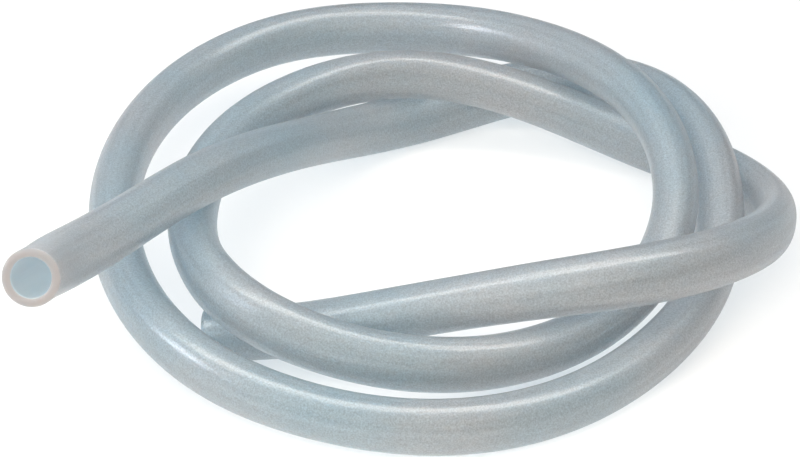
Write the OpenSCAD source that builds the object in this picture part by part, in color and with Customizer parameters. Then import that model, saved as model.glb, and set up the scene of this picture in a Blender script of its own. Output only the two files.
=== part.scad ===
// A length of silicone tubing, cut square at both ends and laid down in a loose coil of three turns.
// It is one piece of plain round tube, so the whole part is a single solid.
// Millimetres, +Z up. The origin is on the bench, under the middle of the coil.

/* [Tubing] */
// Diameter of the bore, which a barbed fitting is pushed into
bore_d = 7; // [4:0.5:12]
// Thickness of the wall
wall = 1.5; // [1:0.25:3]

/* [Hidden] */
$fn = 96;

outer_d = bore_d + 2 * wall;

// The way the tube lies, from its free end round to its tail, as the control points of a smooth curve.
// Each is [x, y, lift] in outside diameters, so the crossings stay right at every size of tube.
// A lift of 0 lies on the bench, and 1 lies on top of a turn that is on the bench.
route = [
    // the free end, which stands up off the coil and points forward
    [-5.9, -9.9, 4.95], [-6.3, -7.3, 3.35], [-5.45, -4.9, 2.4], [-3.85, -2.6, 2.35],
    // down across the middle to the bench at the back
    [-2.5, -0.3, 1.55], [-1.25, 2.2, 0.35], [0.45, 3.75, -0.15], [2.6, 4.5, 0.25],
    // round the right-hand side, over the last turn
    [4.7, 3.75, 0.9], [6.1, 1.65, 1.2], [6.4, -0.8, 0.6], [5.95, -3.15, 0.1],
    // along the front on the bench, then past the mouth of the tail
    [4.65, -5.25, 0], [2.95, -6.8, 0], [0.85, -7.5, 0.05], [-1.4, -7.2, 0.15], [-3.6, -6.2, 0.4],
    // the left-hand side and the back of the outer turn
    [-5.1, -4.1, 0.65], [-5.7, -1.35, 0.8], [-5.5, 1.7, 0.65], [-4.45, 4.1, 0.7], [-2.55, 5.6, 0.85],
    [-0.25, 5.9, 0.87], [2.1, 5.05, 1.2],
    // inside the first turn on the right, over all that lies there
    [4.1, 2.8, 1.75], [5.3, 0.55, 1.65], [5.5, -1.7, 0.95], [4.5, -3.75, 0.25],
    // the front of the inner turn, over the tail
    [2.7, -5.45, 0.25], [0.45, -6.35, 0.55], [-2, -5.9, 0.95], [-3.65, -4.4, 1.2],
    // the left-hand side and the back of the inner turn
    [-4.15, -1.8, 0.95], [-3.7, 0.75, 1.05], [-2.05, 2.7, 1.15], [0.2, 3.65, 1.15], [2.6, 3.25, 0.75],
    // out under the right-hand side and back over it in one tight bend
    [4.8, 2.55, 0], [6.8, 1.3, 0], [7.6, -1, 0.4], [6.7, -3.3, 1.25], [4.9, -4.85, 1.7],
    // straight across the front to the tail, which ends under the inner turn
    [2.5, -5.25, 1.6], [-0.15, -4.8, 0.75], [-2.5, -4.5, 0], [-4.45, -4.5, 0.2]
];
// Straight run at each cut end, in outside diameters
end_run = 1.2;

// Fineness of the bent stretch: stations for each span of the route, and flats round the tube
steps = 4;
sides = 16;
// Length of the bent stretch that is let into each straight end, and its gap from the end's own skins there
lap = 1;
stand_off = 0.02;

function unit(v) = v / norm(v);
function control(i) = outer_d * [route[i].x, route[i].y, route[i].z + 0.5];
function weighed(i, w) =
    w[0] * control(i) + w[1] * control(i + 1) + w[2] * control(i + 2) + w[3] * control(i + 3);

// Centre line and heading of a uniform cubic B-spline, t of the way along the span that starts at point i
function centre(i, t) =
    weighed(i, [(1 - t)^3, 3 * t^3 - 6 * t^2 + 4, -3 * t^3 + 3 * t^2 + 3 * t + 1, t^3]) / 6;
function heading(i, t) =
    unit(weighed(i, [-(1 - t)^2, 3 * t^2 - 4 * t, -3 * t^2 + 2 * t + 1, t^2]));

last_span = len(route) - 4;
stops = [for (i = [0 : last_span], k = [0 : i == last_span ? steps : steps - 1]) [i, k / steps]];
bend_line = [for (s = stops) centre(s[0], s[1])];
bend_heading = [for (s = stops) heading(s[0], s[1])];

last = len(bend_line) - 1;
free_out = -bend_heading[0];
tail_out = bend_heading[last];
end_length = end_run * outer_d;

// Every station with its heading, cut end to cut end, gives the room that the tube takes up
free_mouth = bend_line[0] + end_length * free_out;
tail_mouth = bend_line[last] + end_length * tail_out;
whole_line = concat([free_mouth], bend_line, [tail_mouth]);
whole_heading = concat([free_out], bend_heading, [tail_out]);
function reach(axis, side) = [
    for (i = [0 : len(whole_line) - 1])
        whole_line[i][axis] + side * outer_d / 2 * sqrt(1 - whole_heading[i][axis]^2)
];
function middle(axis) = (min(reach(axis, -1)) + max(reach(axis, 1))) / 2;
origin = [middle(0), middle(1), min(reach(2, -1))];

// The bent stretch: rings of points round the centre line, each turned from the last as little as can be
skin_line = concat([bend_line[0] + lap * free_out], bend_line, [bend_line[last] + lap * tail_out]);
skin_heading = concat([bend_heading[0]], bend_heading, [bend_heading[last]]);
last_ring = len(skin_line) - 1;
function square_to(n, h) = unit(n - (n * h) * h);
across = [
    for (i = 0, n = square_to([0, 0, 1], skin_heading[0]); i <= last_ring;
         i = i + 1, n = square_to(n, skin_heading[min(i, last_ring)])) n
];
// Off the ends, the outside is full size at its corners, and the bore keeps a round bore's area
function at_end(i) = i < 2 || i > last_ring - 2;
function outside_r(i) = outer_d / 2 - (at_end(i) ? stand_off : 0);
function bore_r(i) = at_end(i)
    ? (bore_d / 2 + stand_off) / cos(180 / sides)
    : bore_d / 2 * sqrt(2 * PI / sides / sin(360 / sides));
function ring(i, r) = [
    for (k = [0 : sides - 1])
        let (a = 360 * k / sides)
        skin_line[i] + r * (cos(a) * across[i] + sin(a) * cross(skin_heading[i], across[i]))
];
skin_points = concat(
    [for (i = [0 : last_ring]) each ring(i, outside_r(i))],
    [for (i = [0 : last_ring]) each ring(i, bore_r(i))]
);

// A point's number, on skin 0 for the outside or 1 for the bore, and the patch between two rings at side k
function spot(s, i, k) = (s * (last_ring + 1) + i) * sides + k % sides;
function halves(a, b, c, d) = [[a, b, c], [a, c, d]];
function patch(s, i, t, j, k) = halves(spot(s, i, k), spot(t, j, k), spot(t, j, k + 1), spot(s, i, k + 1));
skin_faces = [
    for (k = [0 : sides - 1]) each concat(
        [for (i = [0 : last_ring - 1]) each concat(patch(0, i, 0, i + 1, k), patch(1, i + 1, 1, i, k))],
        patch(1, 0, 0, 0, k),
        patch(0, last_ring, 1, last_ring, k)
    )
];

module bent_stretch() {
    polyhedron(points = skin_points, faces = skin_faces, convexity = 10);
}

// A straight cut end with its true bore, from the end of the bend outwards
module cut_end(start, out) {
    translate(start)
        rotate([0, acos(out.z), atan2(out.y, out.x)])
            difference() {
                cylinder(d = outer_d, h = end_length);
                translate([0, 0, -1])
                    cylinder(d = bore_d, h = end_length + 2);
            }
}

module tubing() {
    color([0.8, 0.84, 0.86])
        translate(-origin) {
            bent_stretch();
            cut_end(bend_line[0], free_out);
            cut_end(bend_line[last], tail_out);
        }
}

tubing();
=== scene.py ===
import math

import bpy
import numpy as np
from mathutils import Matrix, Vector


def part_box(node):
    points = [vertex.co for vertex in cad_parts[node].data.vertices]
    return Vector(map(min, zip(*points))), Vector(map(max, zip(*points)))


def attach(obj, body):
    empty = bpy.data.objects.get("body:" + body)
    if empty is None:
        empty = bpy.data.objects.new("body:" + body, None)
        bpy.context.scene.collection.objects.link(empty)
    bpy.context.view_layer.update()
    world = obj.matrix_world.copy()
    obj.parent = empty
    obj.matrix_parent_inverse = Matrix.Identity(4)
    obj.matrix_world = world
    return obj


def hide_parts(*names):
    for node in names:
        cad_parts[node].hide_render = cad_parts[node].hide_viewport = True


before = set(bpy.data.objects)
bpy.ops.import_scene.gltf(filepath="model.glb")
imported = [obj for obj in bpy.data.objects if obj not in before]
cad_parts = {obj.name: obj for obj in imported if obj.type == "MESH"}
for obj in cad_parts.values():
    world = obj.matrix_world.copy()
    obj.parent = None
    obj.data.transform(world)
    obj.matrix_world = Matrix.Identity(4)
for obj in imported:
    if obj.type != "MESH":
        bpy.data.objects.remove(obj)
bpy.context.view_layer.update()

# ---------------------------------------------------------------------------------------------
# Camera. A long lens looks down on the bench at a third of a right angle or so, square to the front
# of the coil, so that all of its turns show and the free end points past the lens.
# ---------------------------------------------------------------------------------------------
OUTSIDE = 0.010  # outside diameter of the tube, metres
AIM = Vector((-0.565, 1.19, 0)) * OUTSIDE  # on the bench, a little left of and behind the middle
ELEVATION = math.radians(33.18)
FROM_AIM = 57.4 * OUTSIDE
LENS = 128.6  # mm, for a frame 36 mm wide

camera = bpy.data.objects.new("camera", bpy.data.cameras.new("camera"))
bpy.context.collection.objects.link(camera)
to_camera = Vector((0, -math.cos(ELEVATION), math.sin(ELEVATION)))
camera.location = AIM + FROM_AIM * to_camera
camera.rotation_euler = to_camera.to_track_quat("Z", "Y").to_euler()
camera.data.sensor_width = 36
camera.data.lens = LENS
bpy.context.scene.camera = camera

# ---------------------------------------------------------------------------------------------
# The tubing. One length of soft silicone tube, 7 mm bore in a 1.5 mm wall, extruded and cured,
# then cut square with a blade at both ends. It holds a loose set from the reel it came off.
# ---------------------------------------------------------------------------------------------
BORE = 0.007
LOW, HIGH = (Vector(corner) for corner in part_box("tubing"))

# The way it lies, free end first: [x, y, lift] in outside diameters, as in the part's source
ROUTE = np.array([
    # the free end, which stands up off the coil and points forward
    [-5.9, -9.9, 4.95], [-6.3, -7.3, 3.35], [-5.45, -4.9, 2.4], [-3.85, -2.6, 2.35],
    # down across the middle to the bench at the back
    [-2.5, -0.3, 1.55], [-1.25, 2.2, 0.35], [0.45, 3.75, -0.15], [2.6, 4.5, 0.25],
    # round the right-hand side, over the last turn
    [4.7, 3.75, 0.9], [6.1, 1.65, 1.2], [6.4, -0.8, 0.6], [5.95, -3.15, 0.1],
    # along the front on the bench, then past the mouth of the tail
    [4.65, -5.25, 0], [2.95, -6.8, 0], [0.85, -7.5, 0.05], [-1.4, -7.2, 0.15], [-3.6, -6.2, 0.4],
    # the left-hand side and the back of the outer turn
    [-5.1, -4.1, 0.65], [-5.7, -1.35, 0.8], [-5.5, 1.7, 0.65], [-4.45, 4.1, 0.7],
    [-2.55, 5.6, 0.85], [-0.25, 5.9, 0.87], [2.1, 5.05, 1.2],
    # across the first turn at the back, on top of it, and down inside it on the right
    [4.1, 2.8, 1.75], [5.3, 0.55, 1.65], [5.5, -1.7, 0.95], [4.5, -3.75, 0.25],
    # the front of the inner turn, over the tail
    [2.7, -5.45, 0.25], [0.45, -6.35, 0.55], [-2, -5.9, 0.95], [-3.65, -4.4, 1.2],
    # the left-hand side and the back of the inner turn
    [-4.15, -1.8, 0.95], [-3.7, 0.75, 1.05], [-2.05, 2.7, 1.15], [0.2, 3.65, 1.15], [2.6, 3.25, 0.75],
    # out under the right-hand side and back over it in one tight bend
    [4.8, 2.55, 0], [6.8, 1.3, 0], [7.6, -1, 0.4], [6.7, -3.3, 1.25], [4.9, -4.85, 1.7],
    # straight across the front to the tail, which ends under the inner turn
    [2.5, -5.25, 1.6], [-0.15, -4.8, 0.75], [-2.5, -4.5, 0], [-4.45, -4.5, 0.2],
])
CONTROL = (ROUTE + [0, 0, 0.5]) * OUTSIDE  # a lift of 0 lies on the bench
END_RUN = 1.2 * OUTSIDE  # straight at each cut end
SPAN_STEPS = 14  # rings in each span of the route
SIDES = 56  # points in each ring
EDGE = 0.00012  # the blade leaves each rim this much off sharp
OVAL = 2.2  # flattening of the section in a bend, for a curvature of one over the outside diameter
MOST_OVAL = 0.15  # no bend flattens it by more
TURN_APART = 3 * OUTSIDE  # a stretch this much further along the tube belongs to another turn
NEAR = 1.6 * OUTSIDE  # beyond this from axis to axis, two turns can't touch


def along_route(u):
    """Centre line, its direction and its bend (curvature times the way it turns), u spans along."""
    first = np.minimum(u.astype(int), len(CONTROL) - 4)
    t = (u - first)[:, None]
    four = [CONTROL[first + k] for k in range(4)]

    def weighed(*weights):
        return sum(w * point for w, point in zip(weights, four))

    place = weighed((1 - t)**3, 3 * t**3 - 6 * t**2 + 4, -3 * t**3 + 3 * t**2 + 3 * t + 1, t**3) / 6
    speed = weighed(-(1 - t)**2, 3 * t**2 - 4 * t, -3 * t**2 + 2 * t + 1, t**2) / 2
    change = weighed(1 - t, 3 * t - 2, 1 - 3 * t, t)
    pace = np.linalg.norm(speed, axis=1, keepdims=True)
    heading = speed / pace
    bend = (change - (change * heading).sum(1, keepdims=True) * heading) / pace**2
    return place, heading, bend


def unit(v):
    return v / np.linalg.norm(v, axis=-1, keepdims=True)


def softened(rows, reach):
    """Rows blended with their neighbours, since a thick wall can't change its section at once."""
    weights = np.hanning(2 * reach + 3)[1:-1]
    padded = np.pad(rows, ((reach, reach), (0, 0)), mode="edge")
    return np.stack([np.convolve(column, weights / weights.sum(), "valid") for column in padded.T], axis=1)


spans = len(CONTROL) - 3
centres, headings, bends = along_route(np.linspace(0, spans, spans * SPAN_STEPS + 1))
run = np.linspace(END_RUN, 0, SPAN_STEPS, endpoint=False)[:, None]
centres = np.vstack([centres[0] - run * headings[0], centres, centres[-1] + run[::-1] * headings[-1]])
straight = np.zeros((SPAN_STEPS, 3))
headings = np.vstack([straight + headings[0], headings, straight + headings[-1]])
bends = softened(np.vstack([straight, bends, straight]), SPAN_STEPS // 2)

# The CAD box gives the place of the coil on the bench
reach = OUTSIDE / 2 * np.sqrt(1 - headings**2)
low, high = (centres - reach).min(0), (centres + reach).max(0)
centres += np.array([(LOW.x + HIGH.x) / 2, (LOW.y + HIGH.y) / 2, 0]) - [*(low + high)[:2] / 2, low[2]]

# Each ring is turned from the last as little as can be, so that nothing twists along the tube
across = [unit(np.cross(headings[0], [1, 0, 0]))]
for heading in headings[1:]:
    across.append(unit(across[-1] - (across[-1] @ heading) * heading))
across = np.array(across)
angle = np.linspace(0, 2 * np.pi, SIDES, endpoint=False)[None, :, None]
spokes = np.cos(angle) * across[:, None] + np.sin(angle) * np.cross(headings, across)[:, None]

# A bend flattens the section in its own plane and widens it across, and a straight leaves it round
curvature = np.linalg.norm(bends, axis=1, keepdims=True)
oval = np.minimum(OVAL * (curvature * OUTSIDE)**2, MOST_OVAL)[..., None]
inward = (bends / np.maximum(curvature, 1e-9))[:, None]  # zero on a straight
spokes = spokes * (1 + oval) - 2 * oval * (spokes * inward).sum(2, keepdims=True) * inward
outer = centres[:, None] + OUTSIDE / 2 * spokes

# Where turns press on each other, each gives way to the plane between them
travelled = np.concatenate([[0], np.cumsum(np.linalg.norm(np.diff(centres, axis=0), axis=1))])
for i, ring in enumerate(outer):
    others = centres[abs(travelled - travelled[i]) > TURN_APART]
    others = others[np.linalg.norm(others - centres[i], axis=1) < NEAR]
    if len(others):
        gaps = np.linalg.norm(ring[:, None] - others, axis=2)
        nearest = others[gaps.argmin(1)]
        towards = unit(nearest - centres[i])
        over = ((ring - (nearest + centres[i]) / 2) * towards).sum(1)
        outer[i] = ring - np.clip(over, 0, None)[:, None] * towards
outer[..., 2] = np.maximum(outer[..., 2], 0)  # and to the bench
inner = centres[:, None] + (outer - centres[:, None]) * BORE / OUTSIDE


def rim(i, skin, grow):
    """An edge of the cut face: end ring i of a skin, with its radius larger by grow."""
    away = skin[i] - centres[i]
    return centres[i] + away * (1 + grow / np.linalg.norm(away, axis=1, keepdims=True))


# One closed surface: along the outside, over the tail's cut face, back through the bore and over the
# free end's. Both skins stop EDGE short of the cut, and the cut face starts EDGE in from them
outer_rows = outer.copy()
inner_rows = inner.copy()
for i, side in ((0, 1), (-1, -1)):
    outer_rows[i] += side * EDGE * headings[i]
    inner_rows[i] += side * EDGE * headings[i]
rows = np.concatenate([
    outer_rows, [rim(-1, outer, -EDGE)], [rim(-1, inner, EDGE)],
    inner_rows[::-1], [rim(0, inner, EDGE)], [rim(0, outer, -EDGE)],
])
stations = len(centres)
at = np.concatenate([np.arange(stations), [stations - 1] * 2, np.arange(stations)[::-1], [0] * 2])
blade_cut = np.zeros(len(rows))
blade_cut[[stations, stations + 1, -2, -1]] = 1
in_bore = np.zeros(len(rows))
in_bore[stations + 2:-2] = 1
count = len(rows)
quads = [
    (i * SIDES + k, i * SIDES + (k + 1) % SIDES,
     (i + 1) % count * SIDES + (k + 1) % SIDES, (i + 1) % count * SIDES + k)
    for i in range(count) for k in range(SIDES)
]
mesh = bpy.data.meshes.new("tubing_skin")
mesh.from_pydata(rows.reshape(-1, 3).tolist(), [], quads)
mesh.polygons.foreach_set("use_smooth", [True] * len(quads))
mesh.update()

# What the material reads at each point: the place round and along the tube, and which face it is on
round_and_along = np.zeros((count, SIDES, 3))
round_and_along[..., 0] = OUTSIDE / 2 * np.cos(angle[0, :, 0])
round_and_along[..., 1] = OUTSIDE / 2 * np.sin(angle[0, :, 0])
round_and_along[..., 2] = travelled[at][:, None]
skin_places = mesh.attributes.new("round_and_along", "FLOAT_VECTOR", "POINT")
skin_places.data.foreach_set("vector", round_and_along.ravel())
for name, face in (("blade_cut", blade_cut), ("in_bore", in_bore)):
    mesh.attributes.new(name, "FLOAT", "POINT").data.foreach_set("value", np.repeat(face, SIDES))
tube = bpy.data.objects.new("tubing_skin", mesh)
bpy.context.collection.objects.link(tube)


def linear(colour):
    """An sRGB hex colour as the linear one that a shader takes."""
    parts = [int(colour[i:i + 2], 16) / 255 for i in (1, 3, 5)]
    return [c / 12.92 if c <= 0.04045 else ((c + 0.055) / 1.055) ** 2.4 for c in parts] + [1]


def node(owner, kind, inputs=None, **settings):
    """Adds a node to a material or world. Each input is a socket to link it to, or its value."""
    made = owner.node_tree.nodes.new(kind)
    for name, value in settings.items():
        setattr(made, name, value)
    for name, value in (inputs or {}).items():
        if isinstance(value, bpy.types.NodeSocket):
            owner.node_tree.links.new(value, made.inputs[name])
        else:
            made.inputs[name].default_value = value
    return made


# Platinum-cured silicone rubber, extruded: a milky, all but colourless body under a smooth skin
silicone = bpy.data.materials.new("cured_silicone_rubber")
silicone.use_nodes = True
silicone.node_tree.nodes.clear()

# The milk clouds cooler and warmer, in patches the size of a thumb
CLOUD = 0.038
at_point = node(silicone, "ShaderNodeTexCoord").outputs["Object"]
clouds = node(silicone, "ShaderNodeTexNoise", {"Vector": at_point, "Scale": 1 / CLOUD, "Detail": 2})
milk = node(silicone, "ShaderNodeValToRGB", {"Fac": clouds.outputs["Fac"]})
for stop, place, colour in zip(milk.color_ramp.elements, (0.3, 0.7), ("#9aadb6", "#acafb2")):
    stop.position = place
    stop.color = linear(colour)

# The die leaves fine lines along the tube, about a millimetre apart, which fade out and come back
LINE_WIDTH = 0.0011
LINE_LENGTH = 0.055
skin_place = node(silicone, "ShaderNodeAttribute", attribute_name="round_and_along").outputs["Vector"]
drawn_out = node(
    silicone, "ShaderNodeMapping", {"Vector": skin_place, "Scale": (1, 1, LINE_WIDTH / LINE_LENGTH)},
)
die_lines = node(
    silicone, "ShaderNodeTexNoise",
    {"Vector": drawn_out.outputs[0], "Scale": 1 / LINE_WIDTH, "Detail": 3},
)
lines = die_lines.outputs["Fac"]

# Its silica filler and the dust on it give a fine grain. The real grain is too fine to show, so
# this one is drawn as coarse as it needs to be
GRAIN = 0.0003
filler = node(silicone, "ShaderNodeTexNoise", {"Vector": at_point, "Scale": 1 / GRAIN, "Detail": 1})
grain = filler.outputs["Fac"]

# Grain and lines lighten the milk and darken it. Each is 0.5 on average, so together they leave it
# about as it is
GRAIN_TONE = 1.1
LINE_TONE = 0.4
TONE_LEFT = 0.26
line_tone = node(
    silicone, "ShaderNodeMath", {0: lines, 1: LINE_TONE, 2: TONE_LEFT}, operation="MULTIPLY_ADD",
)
tone = node(
    silicone, "ShaderNodeMath", {0: grain, 1: GRAIN_TONE, 2: line_tone.outputs[0]},
    operation="MULTIPLY_ADD",
)
mottled = node(
    silicone, "ShaderNodeHueSaturation", {"Color": milk.outputs["Color"], "Value": tone.outputs[0]},
)

# They also stand up off the skin, the lines most
RELIEF_DEPTH = 0.00006
GRAIN_RELIEF = 0.3
relief = node(
    silicone, "ShaderNodeMath", {0: grain, 1: GRAIN_RELIEF, 2: lines}, operation="MULTIPLY_ADD",
)
bumps = node(
    silicone, "ShaderNodeBump", {"Height": relief.outputs[0], "Distance": RELIEF_DEPTH, "Strength": 1},
)

# The blade leaves its faces rougher. Their warmer colour is painted light, for the light that comes down
# the wall to them. The bore is painted paler than the outside, a painted glow for the light that soaks
# into it through the wall all round
cut = node(silicone, "ShaderNodeAttribute", attribute_name="blade_cut").outputs["Fac"]
bore = node(silicone, "ShaderNodeAttribute", attribute_name="in_bore").outputs["Fac"]
body = mottled.outputs[0]
# Painted light: the cut faces get a warmer colour and the bore a paler one, for light that reaches them
# through the wall
for share, colour in ((cut, "#adabac"), (bore, "#b8cad2")):
    painted_wall_light = node(silicone, "ShaderNodeMix", {0: share, 6: body, 7: linear(colour)}, data_type="RGBA")
    body = painted_wall_light.outputs[2]
SKIN_ROUGHNESS = 0.4
CUT_ROUGHER = 0.2
roughness = node(
    silicone, "ShaderNodeMath", {0: cut, 1: CUT_ROUGHER, 2: SKIN_ROUGHNESS}, operation="MULTIPLY_ADD",
)

# The skin's gloss is soft, and at a glancing angle it mirrors hardly any more than head on
facing = node(silicone, "ShaderNodeLayerWeight", {"Blend": 0.5}).outputs["Facing"]
gloss = node(silicone, "ShaderNodeMath", {0: facing, 1: -1, 2: 1}, operation="MULTIPLY_ADD")

# Light sinks into the wall and scatters, some goes on through it, and the smooth skin keeps a gloss
rubber = node(silicone, "ShaderNodeBsdfPrincipled", {
    "Base Color": body, "Roughness": roughness.outputs[0], "IOR": 1.41, "Specular IOR Level": 1,
    "Transmission Weight": 0.49, "Subsurface Weight": 1, "Subsurface Radius": (1, 0.8, 0.7),
    "Subsurface Scale": 0.006, "Normal": bumps.outputs[0], "Coat Weight": gloss.outputs[0],
    "Coat Roughness": 0.22, "Coat Normal": bumps.outputs[0],
})

# A lamp's light loses an eighth at each skin it crosses, so the tube throws a pale shadow
lamp_ray = node(silicone, "ShaderNodeLightPath").outputs["Is Shadow Ray"]
skin = node(silicone, "ShaderNodeBsdfTransparent", {"Color": linear("#edf0f2")})
wall = node(silicone, "ShaderNodeMixShader", {0: lamp_ray, 1: rubber.outputs[0], 2: skin.outputs[0]})
node(silicone, "ShaderNodeOutputMaterial", {"Surface": wall.outputs[0]})
mesh.materials.append(silicone)

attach(tube, "root")
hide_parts("tubing")

# ---------------------------------------------------------------------------------------------
# The floor: a plain bench top of matt white laminate, without a pattern. It keeps a soft shadow.
# ---------------------------------------------------------------------------------------------
HALF = 3.0  # from its middle to its edge, metres
bench = bpy.data.meshes.new("bench")
corners = [(-HALF, -HALF, 0), (HALF, -HALF, 0), (HALF, HALF, 0), (-HALF, HALF, 0)]
bench.from_pydata(corners, [], [(0, 1, 2, 3)])
floor = bpy.data.objects.new("bench", bench)
bpy.context.collection.objects.link(floor)

# It is lit to some three quarters of white, and the rest is added where it is seen or mirrored
TO_WHITE = 0.25
white = bpy.data.materials.new("matt_white_laminate")
white.use_nodes = True
white.node_tree.nodes.clear()
matt = node(white, "ShaderNodeBsdfDiffuse", {"Color": linear("#d4d6d7")})
rays = node(white, "ShaderNodeLightPath").outputs
lift = 0
for ray in ("Is Camera Ray", "Is Glossy Ray", "Is Transmission Ray"):
    lift = node(
        white, "ShaderNodeMath", {0: rays[ray], 1: TO_WHITE, 2: lift}, operation="MULTIPLY_ADD",
    ).outputs[0]
glow = node(white, "ShaderNodeEmission", {"Strength": lift, "Color": linear("#ffffff")})
both = node(white, "ShaderNodeAddShader", {0: matt.outputs[0], 1: glow.outputs[0]})
node(white, "ShaderNodeOutputMaterial", {"Surface": both.outputs[0]})
bench.materials.append(white)

# ---------------------------------------------------------------------------------------------
# Studio light: a long softbox overhead, a small one on the left, a warm one near the front that
# fills without a glint, and a dim room, bluish above and brownish below.
# ---------------------------------------------------------------------------------------------


def softbox(name, azimuth, elevation, distance, size, power, colour):
    """A rectangular lamp that faces the coil from azimuth (0 is the front) and elevation, in degrees.

    Its distance from the coil and its size are in metres, and its power is in watts.
    """
    lamp = bpy.data.objects.new(name, bpy.data.lights.new(name, "AREA"))
    bpy.context.collection.objects.link(lamp)
    lamp.data.shape = "RECTANGLE"
    lamp.data.size, lamp.data.size_y = size
    lamp.data.energy = power
    lamp.data.color = linear(colour)[:3]
    turn, rise = math.radians(azimuth), math.radians(elevation)
    to_lamp = Vector((math.sin(turn) * math.cos(rise), -math.cos(turn) * math.cos(rise), math.sin(rise)))
    lamp.location = AIM + distance * to_lamp
    lamp.rotation_euler = to_lamp.to_track_quat("Z", "Y").to_euler()
    lamp.visible_camera = False
    return lamp


softbox("overhead_softbox", 180, 89, 0.9, (1.6, 0.22), 7.5, "#fffaf4")
softbox("left_softbox", -75, 25, 0.9, (0.3, 0.2), 2.4, "#f0f2fb")
softbox("near_front_softbox", -15, 38, 0.28, (0.4, 0.2), 0.75, "#fff0e0").visible_glossy = False

# The room's colour follows how far a ray goes up and back
UP_AND_BACK = (0, 0.45, 0.89)
room = bpy.data.worlds.new("room")
room.use_nodes = True
room.node_tree.nodes.clear()
ray_way = node(room, "ShaderNodeTexCoord").outputs["Generated"]
ray_rise = node(room, "ShaderNodeVectorMath", {0: ray_way, 1: UP_AND_BACK}, operation="DOT_PRODUCT")
walls = node(room, "ShaderNodeValToRGB", {"Fac": ray_rise.outputs["Value"]})
for stop, colour in zip(walls.color_ramp.elements, ("#7b6c61", "#9aa8b7")):
    stop.color = linear(colour)
dim_light = node(room, "ShaderNodeBackground", {"Color": walls.outputs["Color"]})
node(room, "ShaderNodeOutputWorld", {"Surface": dim_light.outputs[0]})
bpy.context.scene.world = room
bpy.context.scene.view_settings.view_transform = "Standard"
